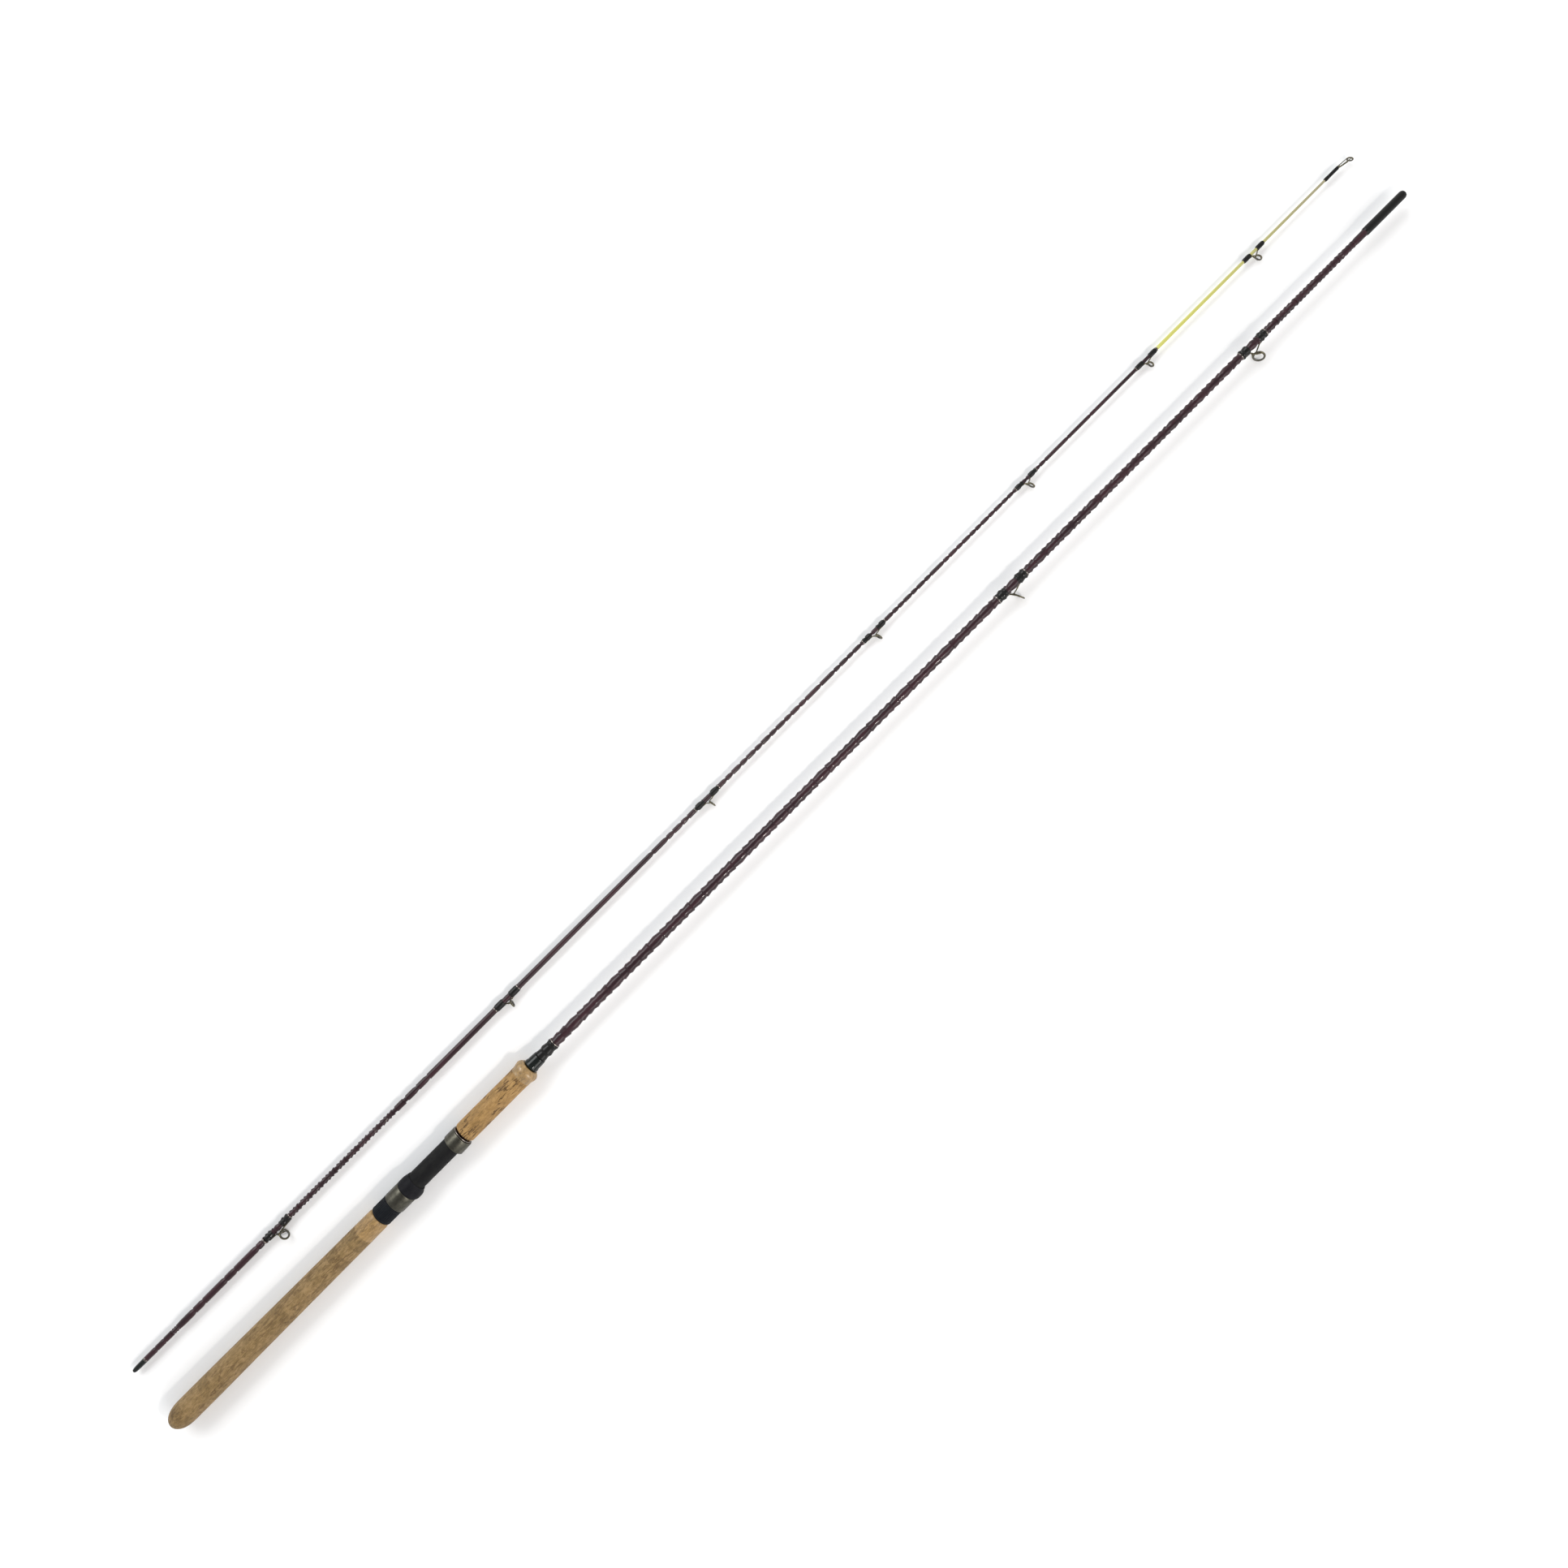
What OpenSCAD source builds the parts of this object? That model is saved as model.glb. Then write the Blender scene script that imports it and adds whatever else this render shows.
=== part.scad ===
// A two-section spinning rod with a quiver tip, taken apart: the butt section and the
// tip section lie side by side on a flat surface, with their line guides to one side.
// X runs from the butt towards the tip, +Z is up, and the guides point towards -Y.

/* [Sections] */
// Length of the butt section
butt_len = 1694; // [1600:1:1800]
// Length of the tip section, quiver tip included
tip_len = 1685; // [1680:1:1700]
// Distance between the two sections' axes
section_gap = 63.5; // [45:0.5:90]
// How far the tip section's male end lies ahead of the butt's end
tip_ahead = 4.5; // [0:0.5:25]
// Length of male ferrule that goes into the butt section
ferrule_depth = 62; // [55:1:70]

/* [Handle] */
// Radius of the rear grip where it is fullest
rear_grip_r = 12.6; // [12.4:0.1:13.5]
// Radius of the rear grip at its front end
rear_grip_front_r = 11.2; // [11:0.1:11.6]
// Radius of the fore grip
fore_grip_r = 11.1; // [10.8:0.1:11.6]
// Radius of the bell at the fore grip's front
bell_r = 12.5; // [11.8:0.1:12.6]
// Length of the fore grip
fore_grip_len = 94; // [70:0.5:110]

/* [Reel seat] */
// Outer radius of the seat's barrel
barrel_r = 9.7; // [9.5:0.05:9.75]
// Height of the flat that the reel's foot sits on, above the rod's axis
platform_h = 8.9; // [8.6:0.1:9.2]
// Pitch of the seat's thread
thread_pitch = 2; // [1.5:0.25:3]
// Running clearance between the nut and the thread's crest
nut_clearance = 0.08; // [0.03:0.01:0.1]
// Clearance between the sliding hood and the barrel
hood_clearance = 0.35; // [0.3:0.05:0.4]

/* [Line guides] */
// Outer diameter of each guide's hoop, from the butt to the tip
hoop_d = [13, 12.5, 10.5, 8, 8, 8, 8, 7.5, 7.5];
// Distance from the rod's axis to each hoop's centre
hoop_h = [13.7, 14.1, 9.6, 7.2, 7.2, 7, 7.7, 6.6, 7.4];
// Place of each guide along its own section
guide_x = [1154, 1486, 199, 517, 794, 1025, 1235.5, 1402, 1550.5];
// Length over both of each guide's thread wraps
wrap_span = [37, 32, 33, 30, 31, 29, 27, 27, 28];
// How far each hoop leans towards the tip, in degrees
hoop_lean = [27, 16, 6, -12, 10, 14, 16, 10, 16];
// How far each hoop is turned about its own legs, in degrees; two are bent from use
hoop_twist = [0, 36, -31, 0, 0, 8, 8, 8, 10];

/* [Quiver tip] */
// Length of the quiver tip that shows
quiver_len = 268; // [255:1:268]
// Length of the quiver tip's spigot
spigot_len = 45; // [30:1:60]
// Running clearance round the spigot
spigot_clearance = 0.06; // [0.02:0.01:0.1]

/* [Hidden] */
$fn = 64;
butt_guides = 2;
guide_count = len(guide_x);
guide_ids = [for (i = [0:guide_count - 1]) str("guide_", i + 1)];

// Stations of the handle along the butt section
cap_len = 12.5;
dome_len = 22;
cork_seam_x = 264;
grip_end_x = 286.5;
nut_x = 287;
nut_len = 18;
nut_r = 11.4;
hood_x = 305.3;
band_len = 17;
hood_len = 31;
fixed_x = 385.5;
fixed_len = 13.5;
fore_x = 402;
fore_seam_x = fore_x + fore_grip_len - 17;
check_x = fore_x + fore_grip_len;
check_len = 10;
handle_wrap_len = 19.5;

// The hoods bulge towards the reel's foot: radius and offset of each outline
band_r = 11.8;
band_off = 0.35;
band_t = 0.5;
flare_r = 9.2;
flare_off = 4.8;
fixed_r = 11.8;
fixed_off = 1.1;
fixed_t = 0.5;
pocket_off = 3.4;

// Blanks: pairs of station and radius, outside and inside
socket_r = 3.0;
butt_outer = [[cap_len, 5.9], [check_x, 5.75], [1120, 4.85], [guide_x[1], 4.3],
              [butt_len - ferrule_depth - 3, 3.6], [butt_len, 3.5]];
butt_inner = [[cap_len, 4.9], [check_x, 4.75], [1120, 3.85], [guide_x[1], 3.35],
              [butt_len - ferrule_depth - 3, socket_r], [butt_len, socket_r]];
plug_len = 16;
plug_ring_len = 2;
plug_r = 1.7;
quiver_x = tip_len - quiver_len;
tip_outer = [[plug_len + plug_ring_len, 2.8], [ferrule_depth, 2.95],
             [ferrule_depth + 6, 3.3], [guide_x[2], 3.4], [424, 3.15], [707, 2.55],
             [960, 2.15], [1263, 1.85], [quiver_x, 1.75]];
spigot_r = 1.05;
spigot_bore = spigot_r + spigot_clearance;
tip_inner = [[plug_len + plug_ring_len, plug_r], [ferrule_depth + 6, 2.2],
             [guide_x[2], 2.4], [424, 2.2], [707, 1.65], [960, 1.3],
             [quiver_x - spigot_len - 2, spigot_bore], [quiver_x, spigot_bore]];
quiver_end = tip_len - 16;
quiver_outer = [[quiver_x, 1.6], [guide_x[8], 1.35], [quiver_end, 1.0]];

// The outside of the blank under each guide
wrap_t = 0.75;
foot_t = 0.5;
trim_t = 0.4;
trim_len = 1.2;
function outer_of(i) = i < butt_guides ? butt_outer
    : i == guide_count - 1 ? quiver_outer : tip_outer;
function guide_gap(i) = 0.55 * hoop_d[i];

// Reach of a hoop from its centre along a direction; face is how much its axis points that way
hoop_t = 0.8;
hoop_w = 1.2;
hoop_edge = 0.2;
ring_w = 1.6;
function hoop_reach(i, face) = hoop_d[i] / 2 * sqrt(1 - face * face)
    + (hoop_w / 2 - hoop_edge) * abs(face);
function side_reach(i, roll) = hoop_h[i] * cos(roll)
    + hoop_reach(i, cos(roll) * cos(hoop_twist[i]) * sin(hoop_lean[i])
                    + sin(roll) * sin(hoop_twist[i]));

// The butt section lies on its rear grip and is rolled until its first hoop touches
// the surface; the tip section lies on its biggest hoop, which is bent
butt_z = rear_grip_r;
first_roll = asin((butt_z - hoop_d[0] / 2) / hoop_h[0]);
butt_roll = asin((butt_z - hoop_reach(0, sin(first_roll) * sin(hoop_lean[0]))) / hoop_h[0]);
tip_z = hoop_reach(2, sin(hoop_twist[2]));

// The origin is at the middle of the whole layout, on the surface
low_side = max(side_reach(0, butt_roll), side_reach(1, butt_roll));
high_side = section_gap + lookup(guide_x[2], tip_outer) + wrap_t;
origin_x = butt_len / 2;
butt_y = (low_side - high_side) / 2;
tip_y = butt_y + section_gap;

// ---- helpers: sections are drawn along +X, with the guides towards -Y ----

module butt_section() {
    translate([-origin_x, butt_y, butt_z]) rotate([butt_roll, 0, 0]) children();
}

module tip_section() {
    translate([tip_ahead - origin_x, tip_y, tip_z]) children();
}

module own_section(i) {
    if (i < butt_guides) butt_section() children();
    else tip_section() children();
}

// A solid turned about the X axis, from points of station and radius
module turned(points) {
    rotate([0, 90, 0]) mirror([1, 0, 0]) rotate_extrude() polygon([for (p = points) [p[1], p[0]]]);
}

// The points of an outline between two stations, both ends included
function stretch(outline, x0, x1) = concat([[x0, lookup(x0, outline)]],
    [for (p = outline) if (p[0] > x0 && p[0] < x1) p], [[x1, lookup(x1, outline)]]);

// The stretch of an outline between two stations, closed along the axis
module core(outline, x0, x1) {
    turned(concat([[x0, 0]], stretch(outline, x0, x1), [[x1, 0]]));
}

module rod(x, length, r, off = 0) {
    translate([x, -off, 0]) rotate([0, 90, 0]) cylinder(h = length, r = r);
}

module cone(x, length, r1, r2, off = 0) {
    translate([x, -off, 0]) rotate([0, 90, 0]) cylinder(h = length, r1 = r1, r2 = r2);
}

// A sleeve on a blank: points of station and height above the blank's surface
module sleeve(outline, points) {
    inner = stretch(outline, points[0][0], points[len(points) - 1][0]);
    turned(concat([for (p = points) [p[0], lookup(p[0], outline) + p[1]]],
                  [for (i = [len(inner) - 1:-1:0]) inner[i]]));
}

// A thread wrap with tapered ends
module thread_wrap(outline, x0, x1, t) {
    sleeve(outline, [[x0, t * 0.4], [x0 + t, t], [x1 - t, t], [x1, t * 0.4]]);
}

module trim_band(outline, x) {
    sleeve(outline, [[x, trim_t * 0.6], [x + 0.3, trim_t], [x + trim_len - 0.3, trim_t],
                     [x + trim_len, trim_t * 0.6]]);
}

// A round wire between two points
module wire(p, q, r) {
    v = q - p;
    translate(p) rotate([0, acos(v[2] / norm(v)), atan2(v[1], v[0])])
        cylinder(h = norm(v), r = r, $fn = 24);
}

// ---- handle ----

function dome_r(x) = rear_grip_r * sqrt(1 - pow(1 - x / dome_len, 2.6));

module butt_cap() color("tan") butt_section()
    turned(concat([for (x = [0, 0.3, 0.8, 1.6, 3, 5, 7.5, 10, cap_len]) [x, dome_r(x)]],
                  [[cap_len, 0]]));

module rear_grip() color("tan") butt_section() difference() {
    turned(concat([[cap_len, 0]],
                  [for (x = [cap_len, 15, 18, dome_len]) [x, dome_r(x)]],
                  [[60, rear_grip_r], [cork_seam_x, rear_grip_front_r + 0.25],
                   [cork_seam_x, 0]]));
    core(butt_outer, cap_len, grip_end_x);
}

module rear_grip_front_ring() color("burlywood") butt_section() difference() {
    turned([[cork_seam_x, 0], [cork_seam_x, rear_grip_front_r + 0.25],
            [grip_end_x - 1.5, rear_grip_front_r], [grip_end_x, rear_grip_front_r - 1],
            [grip_end_x, 0]]);
    core(butt_outer, cap_len, check_x);
}

module fore_grip() color("tan") butt_section() difference() {
    turned([[fore_x, 0], [fore_x, fore_grip_r - 0.8], [fore_x + 1, fore_grip_r],
            [fore_seam_x - 4, fore_grip_r - 0.1], [fore_seam_x, fore_grip_r + 0.1],
            [fore_seam_x, 0]]);
    core(butt_outer, cap_len, check_x);
}

module fore_grip_front_ring() color("burlywood") butt_section() difference() {
    turned([[fore_seam_x, 0], [fore_seam_x, fore_grip_r + 0.1],
            [check_x - 9.5, bell_r - 0.2], [check_x - 7.5, bell_r], [check_x - 5.5, bell_r - 0.4],
            [check_x, 8.2], [check_x, 0]]);
    core(butt_outer, cap_len, check_x);
}

module winding_check() color("black") butt_section()
    sleeve(butt_outer, [[check_x, 1.5], [check_x + 0.5, 1.9], [check_x + 2, 1.9],
                        [check_x + 2.6, 1.6], [check_x + check_len, 1.1]]);

module handle_wrap() color("black") butt_section()
    thread_wrap(butt_outer, check_x + check_len, check_x + check_len + handle_wrap_len, 0.75);

// ---- butt blank ----

module butt_blank() color("maroon") butt_section()
    turned(concat(butt_outer, [for (i = [len(butt_inner) - 1:-1:0]) butt_inner[i]]));

module ferrule_wrap() color("black") butt_section()
    sleeve(butt_outer, [[butt_len - 54, 0.25], [butt_len - 52, 0.6], [butt_len - 4, 0.75],
                        [butt_len - 1.2, 0.6], [butt_len, 0.2]]);

module butt_wrap_trims() color("silver") butt_section() {
    trim_band(butt_outer, check_x + check_len + handle_wrap_len);
    for (i = [0:butt_guides - 1]) guide_trims(i);
}

module guide_trims(i) {
    trim_band(outer_of(i), guide_x[i] - wrap_span[i] / 2 - trim_len);
    trim_band(outer_of(i), guide_x[i] + wrap_span[i] / 2);
}

// ---- reel seat ----

thread_end = hood_x + 26;
groove = 0.45;
seat_bore = 7.8;
relief = 0.2;

// The barrel is threaded at the back and has a flat for the reel's foot
module seat_barrel() color("dimgray") butt_section() difference() {
    turned(concat([[grip_end_x, seat_bore], [grip_end_x, barrel_r]],
                  [for (x = [grip_end_x + 2:thread_pitch:thread_end], p = [[0, 0],
                       [0.25, groove], [0.55, groove], [0.8, 0]])
                       [x + p[0] * thread_pitch, barrel_r - p[1]]],
                  [[fixed_x + fixed_len, barrel_r], [fixed_x + fixed_len, seat_bore]]));
    flat_cut(hood_x + hood_len + 0.5, fixed_x - 0.5, platform_h);
    flat_cut(hood_x, hood_x + hood_len + 1, platform_h - relief);
    flat_cut(fixed_x - 1, fixed_x + 11, platform_h - relief);
}

// A flat on the barrel's guide side; it is relieved a little under the hoods
module flat_cut(x0, x1, h) {
    translate([x0, -barrel_r - 1, -barrel_r]) cube([x1 - x0, barrel_r + 1 - h, 2 * barrel_r]);
}

// Bushes that centre the seat on the blank
module seat_arbors() color("wheat") butt_section() difference() {
    for (x = [grip_end_x + 3, 335, 380]) rod(x, 14, seat_bore);
    core(butt_outer, cap_len, check_x);
}

module fixed_hood_shell() color("gray") butt_section() difference() {
    rod(fixed_x, fixed_len, fixed_r, fixed_off);
    rod(fixed_x - 1, fixed_len + 2, fixed_r - fixed_t, fixed_off);
}

module fixed_hood_liner() color("black") butt_section() difference() {
    rod(fixed_x + 0.3, fixed_len - 0.3, fixed_r - fixed_t, fixed_off);
    rod(fixed_x - 1, fixed_len + 2, barrel_r);
    cone(fixed_x - 1, 12, 8.4, 7.6, pocket_off);
}

module seat_trim_ring() color("silver") butt_section() difference() {
    turned([[fixed_x + fixed_len, 0], [fixed_x + fixed_len, 10.3],
            [fixed_x + fixed_len + 0.4, 10.6], [fixed_x + fixed_len + 0.9, 10.6],
            [fixed_x + fixed_len + 1.2, 10.3], [fixed_x + fixed_len + 1.2, 0]]);
    core(butt_outer, cap_len, check_x);
}

module hood_band() color("gray") butt_section() difference() {
    rod(hood_x, band_len, band_r, band_off);
    rod(hood_x - 1, band_len + 2, band_r - band_t, band_off);
}

// The liner's mouth flares towards the reel's foot, and its pocket takes the foot's end
module hood_liner() color("black") butt_section() difference() {
    union() {
        rod(hood_x, band_len, band_r - band_t, band_off);
        rod(hood_x + band_len, hood_len - band_len, band_r, 0.2);
        rod(hood_x + band_len, hood_len - band_len - 3, flare_r, flare_off);
        cone(hood_x + hood_len - 3, 3, flare_r, flare_r - 0.8, flare_off);
    }
    rod(hood_x - 1, hood_len + 2, barrel_r + hood_clearance);
    cone(hood_x + 4, 13.01, 7, 7.7, pocket_off);
    cone(hood_x + band_len, 15, 7.7, 9, pocket_off);
}

// The nut turns on the seat's thread and pushes the hood
knurls = 36;
module lock_nut() color("black") butt_section() difference() {
    turned([[nut_x, 0], [nut_x, nut_r - 0.8], [nut_x + 0.8, nut_r],
            [nut_x + nut_len - 0.8, nut_r], [nut_x + nut_len, nut_r - 0.8],
            [nut_x + nut_len, 0]]);
    rod(nut_x - 1, nut_len + 2, barrel_r + nut_clearance);
    for (k = [0:knurls - 1]) rotate([k * 360 / knurls, 0, 0])
        translate([0, 0, nut_r + 0.25]) rod(nut_x + 2.5, nut_len - 5, 0.5);
}

// ---- tip section ----

module ferrule_plug() color("black") tip_section()
    turned([[0, 0], [0, 1.4], [0.6, 1.9], [2, 2.3], [6, 2.6], [plug_len, 2.78],
            [plug_len, plug_r], [plug_len + 14, plug_r], [plug_len + 14, 0]]);

module ferrule_ring() color("silver") tip_section() difference() {
    rod(plug_len, plug_ring_len, 2.8);
    rod(plug_len - 1, plug_ring_len + 2, plug_r);
}

module tip_blank() color("maroon") tip_section()
    turned(concat(tip_outer, [for (i = [len(tip_inner) - 1:-1:0]) tip_inner[i]]));

module tip_wrap_trims() color("silver") tip_section()
    for (i = [butt_guides:guide_count - 2]) guide_trims(i);

// The quiver tip pushes into the tip section with its spigot
module quiver_tip() color("yellow") tip_section()
    turned([[quiver_x - spigot_len, 0], [quiver_x - spigot_len, spigot_r],
            [quiver_x + 0.3, spigot_r], [quiver_x + 0.3, 1.4], [quiver_x + 0.6, 1.6],
            quiver_outer[1], quiver_outer[2], [quiver_end, 0]]);

// ---- line guides ----

// Places a hoop's parts, which are drawn round the X axis, leaning at its station
module at_hoop(x, h, lean, twist = 0) {
    translate([x, -h, 0]) rotate([0, 0, lean]) rotate([0, twist, 0]) children();
}

// A point on a leaning hoop: angle 0 is across the rod, 90 is furthest from it
function hoop_point(x, h, r, lean, a, twist = 0) =
    [x + r * sin(a) * sin(lean) + r * cos(a) * sin(twist) * cos(lean),
     -h - r * sin(a) * cos(lean) + r * cos(a) * sin(twist) * sin(lean),
     r * cos(a) * cos(twist)];

module hoop(d, w, t) {
    turned([[-w / 2, d / 2 - t], [-w / 2, d / 2 - hoop_edge], [-w / 2 + hoop_edge, d / 2],
            [w / 2 - hoop_edge, d / 2], [w / 2, d / 2 - hoop_edge], [w / 2, d / 2 - t]]);
}

// A ceramic ring with a rounded mouth on both sides
module liner_ring(r_out, r_in, w) {
    lip = (r_out - r_in) * 0.45;
    turned([[-w / 2, r_out], [w / 2, r_out], [w / 2, r_in + lip], [w / 2 - lip * 0.6, r_in],
            [-w / 2 + lip * 0.6, r_in], [-w / 2, r_in + lip]]);
}

// A flat foot on the blank's guide side
module foot(i, x0, x1) {
    r = lookup((x0 + x1) / 2, outer_of(i)) + foot_t;
    translate([x0, -r, -0.9]) cube([x1 - x0, foot_t + 0.6, 1.8]);
}

module feet(i) {
    x = guide_x[i];
    g = guide_gap(i);
    foot(i, x - wrap_span[i] / 2 + 1.5, x - g + 1.2);
    foot(i, x + g - 1.2, x + wrap_span[i] / 2 - 1.5);
}

// Two legs from the back foot and two from the front foot carry the hoop
module guide_frame(i) color("darkgray") own_section(i) difference() {
    x = guide_x[i];
    h = hoop_h[i];
    r = hoop_d[i] / 2 - 0.35;
    g = guide_gap(i);
    lean = hoop_lean[i];
    twist = hoop_twist[i];
    root = -lookup(x, outer_of(i)) - 0.35;
    leg = hoop_d[i] > 9 ? 0.5 : 0.4;
    union() {
        at_hoop(x, h, lean, twist) hoop(hoop_d[i], hoop_w, hoop_t);
        feet(i);
        for (a = [-22, 202])
            wire([x - g + 0.7, root, 0.45 * cos(a)], hoop_point(x, h, r, lean, a, twist), leg);
        for (a = [-58, 238])
            wire([x + g - 0.7, root, 0.6 * cos(a)], hoop_point(x, h, r, lean, a, twist), leg);
    }
    at_hoop(x, h, lean, twist) rod(-ring_w / 2, ring_w, hoop_d[i] / 2 - hoop_t);
    core(outer_of(i), x - wrap_span[i] / 2, min(x + wrap_span[i] / 2, end_of(i)));
}
function end_of(i) = outer_of(i)[len(outer_of(i)) - 1][0];

module guide_ring(i) color("darkslategray") own_section(i)
    at_hoop(guide_x[i], hoop_h[i], hoop_lean[i], hoop_twist[i])
        liner_ring(hoop_d[i] / 2 - hoop_t, hoop_d[i] * 0.42 - 1.1, ring_w);

module guide_wraps(i) color("black") own_section(i) difference() {
    x = guide_x[i];
    union() {
        thread_wrap(outer_of(i), x - wrap_span[i] / 2, x - guide_gap(i), wrap_t);
        thread_wrap(outer_of(i), x + guide_gap(i), x + wrap_span[i] / 2, wrap_t);
    }
    feet(i);
}

// ---- tip-top: a tube over the end of the quiver tip, a hoop and three wires ----

top_d = 6.8;
top_h = 2.6;
top_x = tip_len - 3;
top_lean = 32;
top_tube_x = quiver_end - 14;
top_tube_r = 1.6;

module tip_top_frame() color("darkgray") tip_section() difference() {
    union() {
        at_hoop(top_x, top_h, top_lean) hoop(top_d, 1, 0.6);
        rod(top_tube_x, quiver_end + 1 - top_tube_x, top_tube_r);
        for (a = [15, 165, -90])
            wire([quiver_end, 0, a == -90 ? 0 : (a < 90 ? 0.9 : -0.9)],
                 hoop_point(top_x, top_h, top_d / 2 - 0.35, top_lean, a), 0.42);
    }
    at_hoop(top_x, top_h, top_lean) rod(-0.6, 1.2, top_d / 2 - 0.6);
    core(quiver_outer, top_tube_x - 1, quiver_end);
}

module tip_top_ring() color("darkslategray") tip_section()
    at_hoop(top_x, top_h, top_lean) liner_ring(top_d / 2 - 0.6, 1.8, 1.2);

module tip_top_wrap() color("black") tip_section()
    sleeve(quiver_outer, [[top_tube_x - 6, 0.2], [top_tube_x - 4.5, 0.5], [top_tube_x, 0.7]]);

butt_cap();
rear_grip();
rear_grip_front_ring();
butt_blank();
seat_barrel();
seat_arbors();
fixed_hood_shell();
fixed_hood_liner();
seat_trim_ring();
fore_grip();
fore_grip_front_ring();
winding_check();
handle_wrap();
butt_wrap_trims();
ferrule_wrap();
hood_band();
hood_liner();
lock_nut();
ferrule_plug();
ferrule_ring();
tip_blank();
tip_wrap_trims();
quiver_tip();
tip_top_frame();
tip_top_ring();
tip_top_wrap();
for (i = [0:guide_count - 1]) {
    guide_frame(i);
    guide_ring(i);
    guide_wraps(i);
}
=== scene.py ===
"""A two-section spinning rod with cork grips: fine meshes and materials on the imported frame.

Every piece is built in millimetres along its own section of the rod: X from the section's
rear end along its axis, and the line guides towards -Y.
"""
import math

import bmesh
import bpy
import numpy as np
from mathutils import Matrix, Vector


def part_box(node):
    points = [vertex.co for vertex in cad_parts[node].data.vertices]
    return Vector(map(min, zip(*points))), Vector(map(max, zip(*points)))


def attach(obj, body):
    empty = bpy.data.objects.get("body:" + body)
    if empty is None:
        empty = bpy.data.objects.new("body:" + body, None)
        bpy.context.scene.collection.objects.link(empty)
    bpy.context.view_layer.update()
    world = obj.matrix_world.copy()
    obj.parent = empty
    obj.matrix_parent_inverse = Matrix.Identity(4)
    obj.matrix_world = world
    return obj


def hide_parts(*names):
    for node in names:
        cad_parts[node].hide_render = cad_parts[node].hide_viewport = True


MM = 0.001
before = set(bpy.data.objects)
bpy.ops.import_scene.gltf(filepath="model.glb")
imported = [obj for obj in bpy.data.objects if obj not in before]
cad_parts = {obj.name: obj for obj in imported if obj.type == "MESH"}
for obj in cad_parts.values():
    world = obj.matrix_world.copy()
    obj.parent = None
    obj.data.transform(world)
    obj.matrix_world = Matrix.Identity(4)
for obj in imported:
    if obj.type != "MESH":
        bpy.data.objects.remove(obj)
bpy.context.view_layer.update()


# ---- where things are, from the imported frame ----

def centre(node):
    lo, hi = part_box(node)
    return (lo + hi) / 2


def section_frame(blank, rear_node, first_ring):
    """A section's matrix: X along its blank from its rear end, -Y towards its first guide."""
    axis, to_ring = centre(blank), centre(first_ring) - centre(blank)
    roll = math.atan2(-to_ring.z, -to_ring.y)
    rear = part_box(rear_node)[0].x
    return Matrix.Translation((rear, axis.y, axis.z)) @ Matrix.Rotation(roll, 4, "X")


BUTT = section_frame("butt_blank", "butt_cap", "guide_1_ring")
TIP = section_frame("tip_blank", "ferrule_plug", "guide_3_ring")


def points_of(node, place):
    """A node's vertices in mm along its section."""
    back = place.inverted()
    return np.array([back @ v.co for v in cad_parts[node].data.vertices]) / MM


def outline_of(node, place):
    """The outside of a turned node as (station, radius), from its own rings of vertices."""
    rings = {}
    for x, y, z in points_of(node, place):
        key = round(float(x), 1)
        rings[key] = max(rings.get(key, 0.0), math.hypot(y, z))
    rings = sorted(rings.items())
    return [ring for i, ring in enumerate(rings) if ring[1] > 0.7 * rings[max(i - 1, 0)][1]]


def ring_place(node, place):
    """Where a guide's ring sits: its matrix, with X along its axis and -Y away from the rod,
    and its outer and inner radius."""
    points = points_of(node, place)
    middle = (points.min(0) + points.max(0)) / 2
    points -= middle
    axis = np.linalg.svd(points, full_matrices=False)[2][2]
    x = Vector(axis * math.copysign(1, axis[0]))
    outward = Vector((0, -1, 0))
    y = -(outward - x * x.dot(outward)).normalized()
    z = x.cross(y)
    reach = np.linalg.norm(np.cross(points, axis), axis=1)
    turn = Matrix((x, y, z)).transposed().to_4x4()
    return Matrix.Translation(Vector(middle)) @ turn, float(reach.max()), float(reach.min())


def half_height(node):
    """Half a node's height in mm, which is its largest radius where it is turned."""
    lo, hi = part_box(node)
    return (hi.z - lo.z) / 2 / MM


def station(node, place, end):
    """The station of a node's rear (0) or front (1) end along its section, in mm."""
    return (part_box(node)[end].x - place.translation.x) / MM


# ---- mesh helpers ----

def rounded(points, n=5):
    """Points of (x, r, fillet radius) as a smooth outline of (x, r)."""
    out = []
    for i, (x, r, *f) in enumerate(points):
        if not f or not f[0] or i in (0, len(points) - 1):
            out.append((x, r))
            continue
        p, a, b = Vector((x, r)), Vector(points[i - 1][:2]), Vector(points[i + 1][:2])
        ea, eb = a - p, b - p
        cut = min(f[0], ea.length * 0.49, eb.length * 0.49)
        p0, p2 = p + ea.normalized() * cut, p + eb.normalized() * cut
        for k in range(n + 1):
            t = k / n
            q = p0 * (1 - t) ** 2 + p * 2 * t * (1 - t) + p2 * t * t
            out.append((q.x, q.y))
    return out


def lathe(outline, segs=72, closed=False, squash=None):
    """A surface turned about X. closed joins its last ring to its first, squash moves each vertex."""
    verts, faces, rows = [], [], []
    for x, r in outline:
        if r < 1e-6:
            rows.append([len(verts)])
            verts.append((x, 0, 0))
            continue
        rows.append(list(range(len(verts), len(verts) + segs)))
        for k in range(segs):
            a = 2 * math.pi * k / segs
            verts.append((x, r * math.cos(a), r * math.sin(a)))
    if squash:
        verts = [squash(v) for v in verts]
    pairs = list(zip(rows, rows[1:] + rows[:1] if closed else rows[1:]))
    for a, b in pairs:
        for k in range(segs):
            j = (k + 1) % segs
            quad = [a[k % len(a)], a[j % len(a)], b[j % len(b)], b[k % len(b)]]
            quad = [v for n, v in enumerate(quad) if v not in quad[:n]]
            if len(quad) > 2:
                faces.append(quad)
    return verts, faces


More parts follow.
